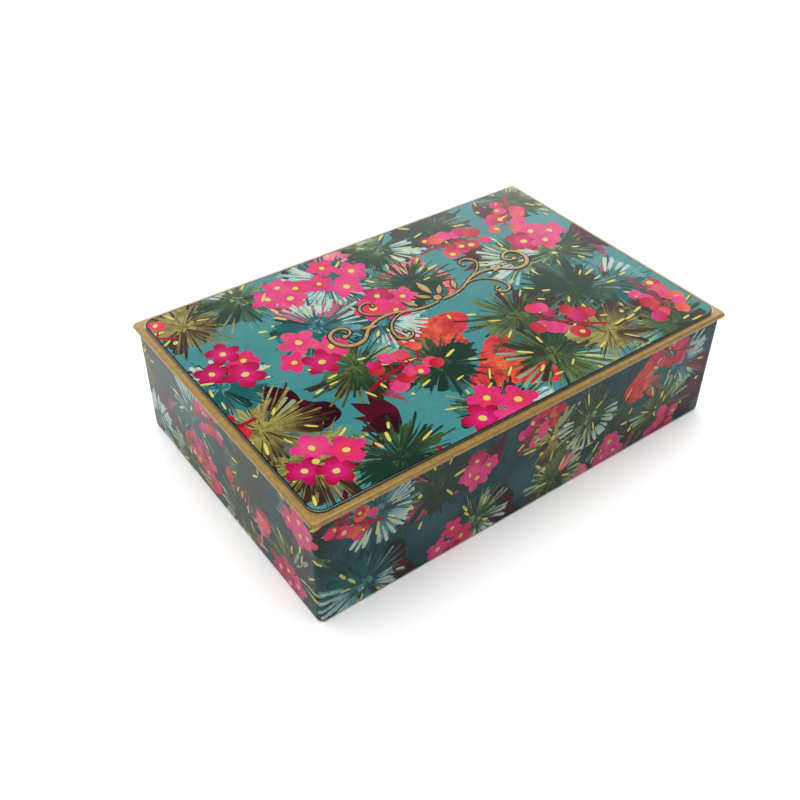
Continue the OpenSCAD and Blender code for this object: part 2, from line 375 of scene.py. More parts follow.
FLOURISH_AT, FLOURISH_TURN, FLOURISH_SCALE = (8, 9), math.radians(3), 0.77
STROKES = [
    ((1.5, -3), -8, [(30, 38), (21, -78), (8.6, 160), (5.6, 120), (3.2, 150)], 1.8),
    ((20, 0.2), 8, [(14, -95), (4.2, -150), (2.2, -120)], 1.2),
    ((27, 4), 12, [(16, 40), (5, 140), (2.6, 120)], 1.1),
]
LEAVES = [(13, 4, (0, 3.5), 90), (9, 2.8, (2.2, 1), 48), (9, 2.8, (12, -0.5), 62),
          (9, 2.6, (37.5, -0.8), 20)]
TURN_STEP = 10


def along(p, heading, arcs):
    """Points along a chain of arcs, each with its heading in degrees."""
    path = []
    for radius, turn in arcs:
        reach = math.copysign(radius, turn)
        def left(h):
            return -math.sin(math.radians(h)), math.cos(math.radians(h))
        mx, my = p[0] + reach * left(heading)[0], p[1] + reach * left(heading)[1]
        steps = math.ceil(abs(turn) / TURN_STEP)
        for k in range(steps):
            h = heading + turn * k / steps
            path.append(((mx - reach * left(h)[0], my - reach * left(h)[1]), h))
        heading += turn
        p = (mx - reach * left(heading)[0], my - reach * left(heading)[1])
    return path + [(p, heading)]


def brush(t):
    return 0.7 + 0.55 * t / 0.35 if t < 0.35 else 1.25 - 0.7 * (t - 0.35) / 0.65


def flourish_patches(grow):
    """The ornament as convex patches, widened by grow mm on every side."""
    g = grow / FLOURISH_SCALE
    half = [[(2.2 * math.cos(t) + g * math.cos(t), -0.5 + (2.2 + g) * math.sin(t))
             for t in np.linspace(0, 2 * math.pi, 25)[:-1]]]
    for start, heading, arcs, width in STROKES:
        path = along(start, heading, arcs)
        last = len(path) - 1
        rails = []
        for k, (p, h) in enumerate(path):
            w = width / 2 * brush(k / last) + g
            nx, ny = -math.sin(math.radians(h)), math.cos(math.radians(h))
            rails.append(((p[0] + w * nx, p[1] + w * ny), (p[0] - w * nx, p[1] - w * ny)))
        half += [[a[0], b[0], b[1], a[1]] for a, b in zip(rails, rails[1:])]
        ball = 0.75 * width + g
        middle = path[-1][0]
        half.append([(middle[0] + ball * math.cos(t), middle[1] + ball * math.sin(t))
                     for t in np.linspace(0, 2 * math.pi, 25)[:-1]])
    for length, width, foot, turn in LEAVES:
        ts = np.linspace(0, 1, 11)
        bulge = np.sin(np.pi * ts).clip(0)
        top = [(length * t + g * (2 * t - 1), width / 2 * b + g * b ** 0.5)
               for t, b in zip(ts, bulge)]
        low = [(x, -y) for x, y in top[1:-1]][::-1]
        half.append(placed(top + low, foot, math.radians(turn)))
    both = half + [[(-x, y) for x, y in patch][::-1] for patch in half]
    return [placed([(x * FLOURISH_SCALE, y * FLOURISH_SCALE) for x, y in patch],
                   FLOURISH_AT, FLOURISH_TURN) for patch in both]


# ---- laying out the two prints ----

REDS = [("coral", "crimson"), ("coral", "apricot"), ("crimson", "coral"), ("pink", "coral")]
PINKS = [("fuchsia", "pink"), ("fuchsia", "crimson"), ("pink", "fuchsia"), ("coral", "fuchsia")]
WINES = [("wine", "burgundy"), ("night", "wine"), ("burgundy", "wine"), ("burgundy", "mauve")]

LINE, GOLD, RAISED = 1, 2, 3                 # how the ornament's patches are marked


def lid_print():
    sheet = Print("teal", "teal_wash")
    rng = random.Random(7)
    # soft washes in the ground
    for at, r in (((-60, -20), 26), ((-20, 20), 30), ((50, 10), 34), ((10, -40), 30), ((60, 45), 26)):
        sheet.add(blob(at, r, rng, 0.7, rng.uniform(0, 3), 0.14, 30), "teal_wash", "teal",
                  "teal_wash", at, (at[0] + r, at[1]), 0.5, radial=True)
    return sheet


# root, middle, tip, dark and shade inks, and the share of pale needles
SPRIGS = [
    ("deep_teal", "mist", "mint", "deep_teal", "pine", 0.9),
    ("moss", "olive", "sage", "pine", "umber", 0.35),
    ("moss", "sage", "mint", "pine", "pine", 0.7),
    ("pine", "moss", "moss", "pine", "pine", 0.3),
    ("khaki", "khaki", "khaki", "umber", "umber", 0.4),
]
# inner, outer and wash inks
FLOWERS = [("coral", "pink", "blush"), ("night", "wine", "burgundy"), ("coral", "apricot", "crimson"),
           ("wine", "burgundy", "wine"), ("crimson", "pink", "mauve"), ("night", "burgundy", "wine")]


def cells(box, nx, ny, rng, jitter=0.32):
    """The middles of nx by ny cells of a box, moved a little and in random order."""
    dx, dy = (box[2] - box[0]) / nx, (box[3] - box[1]) / ny
    middles = [(box[0] + dx * (i + 0.5 + rng.uniform(-jitter, jitter)),
                box[1] + dy * (j + 0.5 + rng.uniform(-jitter, jitter)))
               for i in range(nx) for j in range(ny)]
    rng.shuffle(middles)
    return middles


def flower(sheet, at, size, rng, inks):
    """Three broad petals round a middle."""
    turn = rng.uniform(0, 2 * math.pi)
    for k in range(3):
        a = turn + k * 2 * math.pi / 3
        petal(sheet, placed([(0.5 * size, 0)], at, a)[0], size * rng.uniform(0.75, 1), a, rng, *inks)


def leaf_fan(sheet, at, size, rng):
    turn = rng.uniform(0, 2 * math.pi)
    for k in range(5):
        ink, to = rng.choice(WINES)
        pointed_leaf(sheet, at, size * rng.uniform(0.8, 1.2), size * rng.uniform(0.25, 0.4),
                     turn + 0.45 * (k - 2), rng, ink, to, "burgundy")


def blossoms(sheet, at, size, rng):
    for k in range(4):
        ink, to = rng.choice(PINKS)
        middle = placed([(size * rng.uniform(0.4, 1.2), 0)], at, 1.6 * k)[0]
        blossom(sheet, middle, size * rng.uniform(0.75, 1), rng, ink, to)


def planted(sheet, box, rng, across, up, scale):
    """A generic botanical pattern over a box: flowers and leaves at the back, then sprigs,
    berries and blossoms, and loose touches. Every place comes from the random grid."""
    for k, at in enumerate(cells(box, across - 1, up, rng)):
        if k % 2:
            leaf_fan(sheet, at, 19 * scale, rng)
        else:
            flower(sheet, at, 13 * scale, rng, FLOWERS[k // 2 % len(FLOWERS)])
    for k, at in enumerate(cells(box, across, up, rng)):
        root, middle, tip, dark, shade, pale = SPRIGS[k % len(SPRIGS)]
        burst(sheet, at, scale * rng.uniform(18, 24), rng, light=rng.uniform(0, 2 * math.pi),
              root=root, middle=middle, tip=tip, dark=dark, shade=shade, count=54, dashes=7,
              width=1.9, pale_share=pale, cloud=0.5)
    for k, at in enumerate(cells(box, across, up, rng)):
        if k % 3 == 0:
            blossoms(sheet, at, 7.5 * scale, rng)
        elif k % 3 == 1:
            berry_sprig(sheet, at, rng.uniform(0, 2 * math.pi), rng, REDS + PINKS, 26 * scale,
                        3.5 * scale, 12, "crimson")
    scatter(sheet, box, 6 * across, rng)


def draw_lid():
    sheet = lid_print()
    half_l, half_d = LID_L / 2, LID_D / 2
    planted(sheet, (-half_l, -half_d, half_l, half_d), random.Random(301), 6, 4, 1.0)
    return sheet


def draw_wall(length):
    """The wall's print over its whole length."""
    sheet = Print("dusk", "slate")
    rng = random.Random(302)
    for k in range(14):
        at = (length * k / 14 + rng.uniform(-8, 8), rng.uniform(0, 24))
        sheet.add(blob(at, rng.uniform(14, 24), rng, 0.7, rng.uniform(0, 3), 0.15, 24), "slate",
                  "dusk", "slate", at, (at[0] + 18, at[1]), 0.15, radial=True)
    planted(sheet, (0, 0, length, 46), rng, 17, 2, 0.78)
    return sheet


# ---- turning a print into triangles ----


def triangulated(points, lines, faces):
    """Constrained triangles inside faces[0], with the last shape that covers each."""
    co, _, tris, _, _, owners = delaunay_2d_cdt(
        [Vector(p) for p in points], lines, faces, 1, 1e-5, True)
    inside = [(t, max(o) - 1) for t, o in zip(tris, owners) if 0 in o]
    return (np.array([tuple(p) for p in co]), np.array([t for t, _ in inside]),
            np.array([top for _, top in inside]))


def visible_edges(points, tris, top, lines):
    """Edges where the topmost shape changes, or that lie on a line the mesh has to keep.
    Points that only hidden shapes made on them are left out."""
    sides = np.concatenate([tris[:, [0, 1]], tris[:, [1, 2]], tris[:, [2, 0]]])
    shape = np.tile(top, 3)
    sides.sort(axis=1)
    order = np.lexsort((sides[:, 1], sides[:, 0]))
    sides, shape = sides[order], shape[order]
    same = (sides[1:] == sides[:-1]).all(axis=1)
    hidden = np.zeros(len(sides), bool)
    hidden[1:] |= same & (shape[1:] == shape[:-1])
    hidden[:-1] |= same & (shape[1:] == shape[:-1])
    second = np.zeros(len(sides), bool)
    second[1:] = same
    next_to = {}
    for a, b in sides[~hidden & ~second].tolist():
        next_to.setdefault(a, []).append(b)
        next_to.setdefault(b, []).append(a)
    fixed = {tuple(np.round(p, 3)) for line in lines for p in line}
    for v in list(next_to):
        if len(next_to[v]) != 2 or tuple(np.round(points[v], 3)) in fixed:
            continue
        a, b = next_to[v]
        ax, ay = points[a] - points[v]
        bx, by = points[b] - points[v]
        bend = abs(ax * by - ay * bx)
        if a == b or b in next_to[a] or bend > 0.0015 * math.hypot(ax - bx, ay - by):
            continue
        next_to[a][next_to[a].index(v)] = b
        next_to[b][next_to[b].index(v)] = a
        del next_to[v]
    return [(a, b) for a, near in next_to.items() for b in near if a < b]


def partition(sheet, domain, spacing):
    """Cuts the domain along the outlines that show. Returns 2D points, triangles and the
    topmost shape of each, where -1 is the bare ground."""
    rim = list(range(len(domain)))
    faces = [rim] + [[len(domain) + k for k in face] for face in sheet.faces]
    lines = [(len(domain) + a, len(domain) + b) for a, b in sheet.lines]
    points, tris, top = triangulated(list(domain) + sheet.points, lines, faces)
    tree = BVHTree.FromPolygons([(x, y, 0) for x, y in points.tolist()], tris.tolist())

    kept_lines = [(sheet.points[a], sheet.points[b]) for a, b in sheet.lines]
    kept_lines += list(zip(domain, domain[1:] + domain[:1]))
    edges = visible_edges(points, tris, top, kept_lines)
    again = list(domain) + [p for line in kept_lines for p in line]
    lines = [(k, k + 1) for k in range(len(domain), len(again), 2)]
    base = len(again)
    number = {v: base + k for k, v in enumerate(sorted({v for e in edges for v in e}))}
    again += [tuple(points[v]) for v in number]
    lines += [(number[a], number[b]) for a, b in edges]
    low, high = np.min(domain, axis=0), np.max(domain, axis=0)
    again += [(x, y) for x in np.arange(low[0] + spacing, high[0] - spacing / 2, spacing)
              for y in np.arange(low[1] + spacing, high[1] - spacing / 2, spacing)]
    flat, tris, _ = triangulated(again, lines, [rim])
    top = [top[tree.find_nearest((x, y, 0))[2]] for x, y in flat[tris].mean(axis=1).tolist()]
    return flat, tris, np.array(top)


def painted(sheet, corners, top):
    """The two inks at each triangle corner, as RGBA; the wash's alpha is how mottled it is."""
    ground = (*INK[sheet.ground[0]], *INK[sheet.ground[0]], *INK[sheet.ground[1]], 0, 0, 1, 0, 0.6, 0)
    rows = np.array([ground, *sheet.paint])[np.repeat(top + 1, 3)]
    a, b, wash = rows[:, 0:3], rows[:, 3:6], rows[:, 6:9]
    start, end, mottle, radial = rows[:, 9:11], rows[:, 11:13], rows[:, 13], rows[:, 14]
    d = end - start
    size = np.maximum((d ** 2).sum(1), 1e-9)
    straight = ((corners - start) * d).sum(1) / size
    round_ = np.sqrt(((corners - start) ** 2).sum(1) / size)
    t = np.clip(np.where(radial > 0.5, round_, straight), 0, 1)
    t = (t * t * (3 - 2 * t))[:, None]
    ink = a * (1 - t) + b * t
    return (np.column_stack([ink, np.ones(len(ink))]), np.column_stack([wash, mottle]))


# ---- taking a CAD node's mesh apart and putting it together with a print ----


def cad_parts(node, printed):
    """The node's faces, except those the test says are printed: points in mm, faces, and a
    normal for each face corner."""
    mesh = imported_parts[node].data
    co = np.array([v.co for v in mesh.vertices]) / MM
    keys, number, points = {}, [], []
    for p in co:
        key = tuple(np.round(p, 4))
        if key not in keys:
            keys[key] = len(points)
            points.append(p)
        number.append(keys[key])
    points = np.array(points)
    corner = np.zeros(len(mesh.loops) * 3, np.float32)
    mesh.corner_normals.foreach_get("vector", corner)
    corner = corner.reshape(-1, 3)
    faces, normals = [], []
    for poly in mesh.polygons:
        face = [number[v] for v in poly.vertices]
        if len(set(face)) < 3 or printed(points[face]):
            continue
        faces.append(face)
        normals.append(corner[list(poly.loop_indices)])
    return points, faces, normals


def inset_of(p, length, depth, r):
    """How far a point lies inside a rounded rectangle's outline, in mm."""
    qx = np.abs(p[..., 0]) - (length / 2 - r)
    qy = np.abs(p[..., 1]) - (depth / 2 - r)
    outside = np.hypot(np.maximum(qx, 0), np.maximum(qy, 0))
    return r - outside - np.minimum(np.maximum(qx, qy), 0)


def welded(name, cad, points, tris, tri_normals, slots, cad_slot, ink, wash, cad_ink):
    """One closed mesh from what is left of the CAD node and the printed triangles."""
    cad_points, cad_faces, cad_normals = cad
    tree = KDTree(len(cad_points))
    for k, p in enumerate(cad_points):
        tree.insert(p, k)
    tree.balance()
    base = len(cad_points)
    number, extra = [], []
    for p in points:
        _, k, far = tree.find(p)
        if far < 0.003:
            number.append(k)
        else:
            number.append(base + len(extra))
            extra.append(p)
    number = np.array(number)
    tris = number[tris]
    sound = np.array([len(set(t)) == 3 for t in tris])
    every = np.concatenate([cad_points, np.array(extra)]) * MM
    faces = cad_faces + tris[sound].tolist()
    used = np.zeros(len(every), bool)
    for f in faces:
        used[f] = True
    renumber = np.cumsum(used) - 1
    faces = [[int(renumber[v]) for v in f] for f in faces]
    mesh = bpy.data.meshes.new(name)
    mesh.from_pydata(every[used].tolist(), [], faces)
    mesh.polygons.foreach_set("use_smooth", [True] * len(faces))
    mesh.polygons.foreach_set(
        "material_index", [cad_slot(cad_points[f].mean(0), n.mean(0)) for f, n in
                           zip(cad_faces, cad_normals)] + slots[sound].tolist())
    corner_ok = np.repeat(sound, 3)
    loops = sum(len(f) for f in cad_faces)
    for label, values, plain in (("ink", ink, cad_ink[0]), ("wash", wash, cad_ink[1])):
        layer = mesh.color_attributes.new(label, "FLOAT_COLOR", "CORNER")
        colours = np.concatenate([np.tile(plain, (loops, 1)), values[corner_ok]])
        layer.data.foreach_set("color", colours.astype(np.float32).ravel())
    normals = np.concatenate([np.concatenate(cad_normals), tri_normals[corner_ok]])
    mesh.update()
    mesh.normals_split_custom_set(normals.tolist())
    obj = bpy.data.objects.new(name, mesh)
    bpy.context.scene.collection.objects.link(obj)
    return obj


def rounded_loop(length, depth, r):
    """A rounded rectangle's outline, counter-clockwise from the +X side, with the arc steps
    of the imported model."""
    points = []
    for sx, sy, first in ((1, 1, 0), (-1, 1, 90), (-1, -1, 180), (1, -1, 270)):
        for k in range(ARC_STEPS + 1):
            a = math.radians(first + 90 * k / ARC_STEPS)
            points.append((sx * (length / 2 - r) + r * math.cos(a),
                           sy * (depth / 2 - r) + r * math.sin(a)))
    return points


def make_lid():
    sheet = draw_lid()
    width, depth = LID_L - 2 * TOP_INSET, LID_D - 2 * TOP_INSET
    r = PANEL_R - RISER_TOP_R
    domain = rounded_loop(width, depth, r)
    # thin dark line along the panel's edge
    line_w = 0.42
    inner = rounded_loop(width - 2 * line_w, depth - 2 * line_w, r - line_w)
    for k in range(len(domain)):
        j = (k + 1) % len(domain)
        sheet.add([domain[k], domain[j], inner[j], inner[k]], "night", mottle=0.2)
    kinds = [0] * len(sheet.faces)
    for grow, kind, ink in ((0.5, LINE, "night"), (0.0, GOLD, "khaki"), (-0.16, RAISED, "khaki")):
        for patch in flourish_patches(grow):
            sheet.add(patch, ink, mottle=0.2, slot=0 if kind == LINE else 1)
            kinds.append(kind)
    flat, tris, top = partition(sheet, domain, 4.0)
    kinds = np.array(kinds + [0])
    kind = kinds[top]
    high = np.zeros(len(flat), bool)
    high[np.unique(tris[kind == RAISED])] = True
    z = PANEL_Z + np.where(high, FLOURISH_RISE, 0.0)
    points = np.column_stack([flat, z])
    tri_points = points[tris]
    face_n = np.cross(tri_points[:, 1] - tri_points[:, 0], tri_points[:, 2] - tri_points[:, 0])
    face_n /= np.maximum(np.linalg.norm(face_n, axis=1), 1e-12)[:, None]
    ramp = (kind == GOLD)
    normals = np.where(ramp[:, None], face_n, np.array([0.0, 0.0, 1.0]))
    normals = np.repeat(normals, 3, axis=0)
    ink, wash = painted(sheet, flat[tris].reshape(-1, 2), top)
    slots = np.array(sheet.slots + [0])[top]

    def printed(p):
        return p[:, 2].min() > PANEL_Z - 0.001

    def slot_of(p, n):
        inset = float(inset_of(p, LID_L, LID_D, LID_R))
        if p[2] > BORDER_Z - 0.05 and inset > BORDER_W - 0.3:
            outer = inset_of(p, LID_L - 2 * BORDER_W, LID_D - 2 * BORDER_W, PANEL_R)
            if outer < 0.12 and p[2] > BORDER_Z + 0.12 or p[2] > PANEL_Z - 0.12:
                return 2
        if abs(p[2] - BORDER_Z) < 0.3 and n[2] > 0.2:
            return 1
        if inset < 0.12:
            return 1
        from_edge = math.hypot(inset - EDGE_R, p[2] - (BORDER_Z - EDGE_R))
        if inset < EDGE_R and p[2] > BORDER_Z - EDGE_R and from_edge > EDGE_R - 0.12:
            return 1
        from_curl = math.hypot(inset - CURL_R, p[2] - WIRE_Z)
        if p[2] < BORDER_Z - EDGE_R and from_curl > CURL_R - 0.12:
            return 1
        return 3

    cad = cad_parts("lid", printed)
    dark = (np.append(INK["night"], 1), np.append(INK["night"], 0.2))
    obj = welded("lid_tinplate", cad, points, tris, normals, slots, slot_of, ink, wash, dark)
    for mat in (PRINT, GOLD_INK, BLACK_LINE, LACQUER):
        obj.data.materials.append(mat)
    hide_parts("lid")
    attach(obj, "lid")
    return obj


class WallSheet:
    """The wall's outer face as a flat band: s runs round it from the lock seam, to the right
    as seen from outside, and h up its profile from under the foot to the neck."""

    def __init__(self):
        self.straight_l, self.straight_d = WALL_L - 2 * WALL_R, WALL_D - 2 * WALL_R
        self.arc = WALL_R * math.pi / 2
        self.foot = FOOT_R * math.pi / 2
        self.step = math.hypot(NECK_IN, STEP_TOP - STEP_LOW)
        self.h_low = self.foot + STEP_LOW - FOOT_R
        self.h_top = self.h_low + self.step
        # (length, kind, start point, direction angle or corner middle)
        hl, hd = self.straight_l / 2, self.straight_d / 2
        self.runs = []
        s = 0.0
        for kind, size, data in (
            ("line", hl, (0, WALL_D / 2, -1, 0)), ("arc", self.arc, (-hl, hd, 90)),
            ("line", 2 * hd, (-WALL_L / 2, hd, 0, -1)), ("arc", self.arc, (-hl, -hd, 180)),
            ("line", 2 * hl, (-hl, -WALL_D / 2, 1, 0)), ("arc", self.arc, (hl, -hd, 270)),
            ("line", 2 * hd, (WALL_L / 2, -hd, 0, 1)), ("arc", self.arc, (hl, hd, 0)),
            ("line", hl, (hl, WALL_D / 2, -1, 0)),
        ):
            self.runs.append((s, s + size, kind, data))
            s += size
        self.length = s
        self.cut = self.runs[0][1]           # the band's ends meet where a corner begins
        self.columns = [0.0]
        for a, b, kind, _ in self.runs:
            if kind == "arc":
                self.columns += [a + (b - a) * k / ARC_STEPS for k in range(ARC_STEPS + 1)]
        self.rows = [self.foot * k / 6 for k in range(1, 7)] + [self.h_low]

    def profile(self, h):
        """(distance inwards, height, normal outwards, normal up) at h."""
        if h < self.foot:
            a = h / FOOT_R
            return FOOT_R * (1 - math.sin(a)), FOOT_R * (1 - math.cos(a)), math.sin(a), -math.cos(a)
        if h <= self.h_low:
            return 0.0, FOOT_R + h - self.foot, 1.0, 0.0
        t = (h - self.h_low) / self.step
        return NECK_IN * t, STEP_LOW + (STEP_TOP - STEP_LOW) * t, math.sqrt(0.5), math.sqrt(0.5)

    def place(self, s, h):
        """The point and the normal in space."""
        s = s % self.length
        inward, z, out, up = self.profile(h)
        for a, b, kind, data in self.runs:
            if s <= b + 1e-9:
                break
        if kind == "line":
            x, y, dx, dy = data
            nx, ny = dy, -dx
            px, py = x + dx * (s - a), y + dy * (s - a)
            return (px - nx * inward, py - ny * inward, z), (nx * out, ny * out, up)
        t = math.radians(data[2] + 90 * (s - a) / (b - a))
        nx, ny = math.cos(t), math.sin(t)
        r = WALL_R - inward
        return (data[0] + r * nx, data[1] + r * ny, z), (nx * out, ny * out, up)


def joined_ends(flat, tris, low_s, high_s):
    """Triangles whose corners on the band's last column are those on its first. Points that
    are closer than a hundredth of a millimetre there become one."""
    number = np.arange(len(flat))
    at_end = sorted((float(h), s > low_s + 1, k) for k, (s, h) in enumerate(flat)
                    if min(abs(s - low_s), abs(s - high_s)) < 1e-3)
    group = []
    for h, at_high, k in at_end + [(math.inf, False, -1)]:
        if group and h - group[0][0] > 0.01:
            keep = min(group, key=lambda g: g[1])[2]
            for _, _, member in group:
                number[member] = keep
            group = []
        group.append((h, at_high, k))
    return number[tris]


def repeated(art, length, low_s, high_s):
    """The art moved onto the band, which starts beside the groove, so it wraps round."""
    sheet = Print(*art.ground)
    for outline, paint, slot in zip(art.faces, art.paint, art.slots):
        points = [art.points[k] for k in outline]
        for shift in (-length, 0, length):
            moved = [(x + shift, y) for x, y in points]
            if max(p[0] for p in moved) > low_s and min(p[0] for p in moved) < high_s:
                row = list(paint)
                row[9] += shift
                row[11] += shift
                first = len(sheet.points)
                sheet.points.extend(moved)
                sheet.faces.append(list(range(first, len(sheet.points))))
                sheet.paint.append(tuple(row))
                sheet.slots.append(slot)
    return sheet


def bare_strips(sheet, band, low_s, high_s):
    """Adds the bare metal and the groove, which stays CAD, and returns the groove's number."""
    seam = band.length
    margin = [(seam - GROOVE_AT, 0), (seam - GROOVE_AT + 1.3, 0),
              (seam - GROOVE_AT + 1.3, band.h_top), (seam - GROOVE_AT, band.h_top)]
    sheet.add(margin, "mint", mottle=0.1, slot=1)
    left_of_groove = seam - GROOVE_AT - GROOVE_W
    sheet.add([(left_of_groove - 0.2, 0), (left_of_groove, 0), (left_of_groove, band.h_top),
               (left_of_groove - 0.2, band.h_top)], "mint", mottle=0.1, slot=1)
    for h in (0, band.h_top - 0.15):         # bare edges under the foot and under the curl
        sheet.add([(low_s, h), (high_s, h), (high_s, h + 0.15), (low_s, h + 0.15)], "mint",
                  mottle=0.1, slot=1)
    groove = [(left_of_groove, band.foot), (seam - GROOVE_AT, band.foot),
              (seam - GROOVE_AT, band.h_low), (left_of_groove, band.h_low)]
    sheet.add(groove, "night")
    return len(sheet.faces) - 1


def make_wall():
    band = WallSheet()
    low_s, high_s = band.cut, band.cut + band.length
    sheet = repeated(draw_wall(band.length), band.length, low_s, high_s)
    groove_id = bare_strips(sheet, band, low_s, high_s)
    columns = sorted({round(c if c >= low_s - 1e-9 else c + band.length, 9)
                      for c in band.columns[1:]} | {low_s, high_s})
    for c in columns:
        if low_s < c < high_s:
            sheet.line((c, 0), (c, band.h_top))
    for h in band.rows:
        sheet.line((low_s, h), (high_s, h))
    domain = ([(c, 0) for c in columns]
              + [(high_s, h) for h in band.rows]
              + [(c, band.h_top) for c in columns[::-1]]
              + [(low_s, h) for h in band.rows[::-1]])
    flat, tris, top = partition(sheet, domain, 5.0)
    keep = top != groove_id
    tris, top = joined_ends(flat, tris[keep], low_s, high_s), top[keep]
    placed_ = [band.place(s, h) for s, h in flat]
    points = np.array([p for p, _ in placed_])
    normals = np.array([n for _, n in placed_])[tris]
    # at the step the normal belongs to the row that the triangle is in
    middle = flat[tris][:, :, 1].mean(1)
    out = np.array([band.profile(h)[2:] for h in middle])
    outwards = normals[:, :, :2] / np.maximum(
        np.linalg.norm(normals[:, :, :2], axis=2), 1e-9)[:, :, None]
    flat_rows = middle > band.foot
    for k in np.nonzero(flat_rows)[0]:
        normals[k, :, :2] = outwards[k] * out[k, 0]
        normals[k, :, 2] = out[k, 1]
    normals = normals.reshape(-1, 3)
    ink, wash = painted(sheet, flat[tris].reshape(-1, 2), top)
    slots = np.array(sheet.slots + [0])[top]

    def printed(p):
        inset = inset_of(p, WALL_L, WALL_D, WALL_R)
        z = p[:, 2]
        on_wall = (np.abs(inset) < 0.002) & (z > FOOT_R - 0.002) & (z < STEP_LOW + 0.002)
        foot = np.hypot(inset - FOOT_R, z - FOOT_R)
        on_foot = ((np.abs(foot - FOOT_R) < 0.004) & (z < FOOT_R + 0.002)
                   & (inset < FOOT_R + 0.002) & (z.max() > 0.001))
        step = (np.abs((inset - (z - STEP_LOW))) < 0.004) & (z > STEP_LOW - 0.002) & (
            z < STEP_TOP + 0.002)
        return bool((on_wall | on_foot | step).all())

    def slot_of(p, n):                       # all that isn't printed is lacquered
        return 1

    cad = cad_parts("body_wall", printed)
    plain = (np.append(INK["dusk"], 1), np.append(INK["slate"], 0.5))
    obj = welded("wall_tinplate", cad, points, tris, normals, slots, slot_of, ink, wash, plain)
    for mat in (PRINT, LACQUER):
        obj.data.materials.append(mat)
    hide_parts("body_wall")
    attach(obj, "box")
    return obj


# ---- materials ----


def new_material(name):
    mat = bpy.data.materials.new(name)
    mat.use_nodes = True
    nodes, links = mat.node_tree.nodes, mat.node_tree.links
    nodes.clear()
    out = nodes.new("ShaderNodeOutputMaterial")
    shader = nodes.new("ShaderNodeBsdfPrincipled")
    links.new(shader.outputs[0], out.inputs[0])
    return mat, nodes, links, shader


def noise(nodes, links, coords, scale, detail=3.0, rough=0.55, distortion=0.0):
    n = nodes.new("ShaderNodeTexNoise")
    n.inputs["Scale"].default_value = scale
    n.inputs["Detail"].default_value = detail
    n.inputs["Roughness"].default_value = rough
    n.inputs["Distortion"].default_value = distortion
    links.new(coords, n.inputs["Vector"])
    return n.outputs["Fac"]


def span(nodes, links, value, low, high, to_low, to_high):
    m = nodes.new("ShaderNodeMapRange")
    m.interpolation_type = "SMOOTHSTEP"
    for k, v in enumerate((low, high, to_low, to_high), 1):
        m.inputs[k].default_value = v
    links.new(value, m.inputs[0])
    return m.outputs[0]


def maths(nodes, links, kind, a, b):
    m = nodes.new("ShaderNodeMath")
    m.operation = kind
    for k, v in enumerate((a, b)):
        if isinstance(v, (int, float)):
            m.inputs[k].default_value = v
        else:
            links.new(v, m.inputs[k])
    return m.outputs[0]


def mixed(nodes, links, factor, a, b, mode="MIX"):
    m = nodes.new("ShaderNodeMix")
    m.data_type = "RGBA"
    m.blend_type = mode
    for k, v in ((0, factor), (6, a), (7, b)):
        if isinstance(v, (int, float)):
            m.inputs[k].default_value = v
        elif isinstance(v, tuple):
            m.inputs[k].default_value = (*v, 1) if len(v) == 3 else v
        else:
            links.new(v, m.inputs[k])
    return m.outputs[2]


def bumped(nodes, links, shader, height, strength, distance, coat=True):
    b = nodes.new("ShaderNodeBump")
    b.inputs["Strength"].default_value = strength
    b.inputs["Distance"].default_value = distance
    links.new(height, b.inputs["Height"])
    links.new(b.outputs[0], shader.inputs["Normal"])
    if coat:
        links.new(b.outputs[0], shader.inputs["Coat Normal"])


def print_material():
    """Offset print under gloss varnish: the inks come with the mesh, the wash and the grain
    from noise."""
    mat, nodes, links, shader = new_material("printed_lacquer")
    coords = nodes.new("ShaderNodeTexCoord").outputs["Object"]
    ink = nodes.new("ShaderNodeAttribute")
    ink.attribute_name = "ink"
    wash = nodes.new("ShaderNodeAttribute")
    wash.attribute_name = "wash"
    pools = span(nodes, links, noise(nodes, links, coords, 170, 5, 0.62, 0.9), 0.42, 0.66, 0, 1)
    streaks = span(nodes, links, noise(nodes, links, coords, 620, 3, 0.6, 0.4), 0.4, 0.7, 0, 0.7)
    amount = maths(nodes, links, "MULTIPLY", maths(nodes, links, "MAXIMUM", pools, streaks),
                   wash.outputs["Alpha"])
    colour = mixed(nodes, links, amount, ink.outputs["Color"], wash.outputs["Color"])
    grain = span(nodes, links, noise(nodes, links, coords, 4200, 1, 0.5), 0.3, 0.7, 0.9, 1.1)
    tint = nodes.new("ShaderNodeCombineColor")
    for k in range(3):
        links.new(grain, tint.inputs[k])
    colour = mixed(nodes, links, 1.0, colour, tint.outputs[0], "MULTIPLY")
    links.new(colour, shader.inputs["Base Color"])
    rough = span(nodes, links, noise(nodes, links, coords, 90, 3), 0.3, 0.7, 0.3, 0.4)
    links.new(rough, shader.inputs["Roughness"])
    shader.inputs["Specular IOR Level"].default_value = 0.0
    shader.inputs["Coat Weight"].default_value = 0.6
    shader.inputs["Coat Roughness"].default_value = 0.06
    shader.inputs["Coat IOR"].default_value = 1.3
    wave = noise(nodes, links, coords, 24, 2, 0.4)
    bumped(nodes, links, shader, wave, 0.12, 0.002)
    return mat


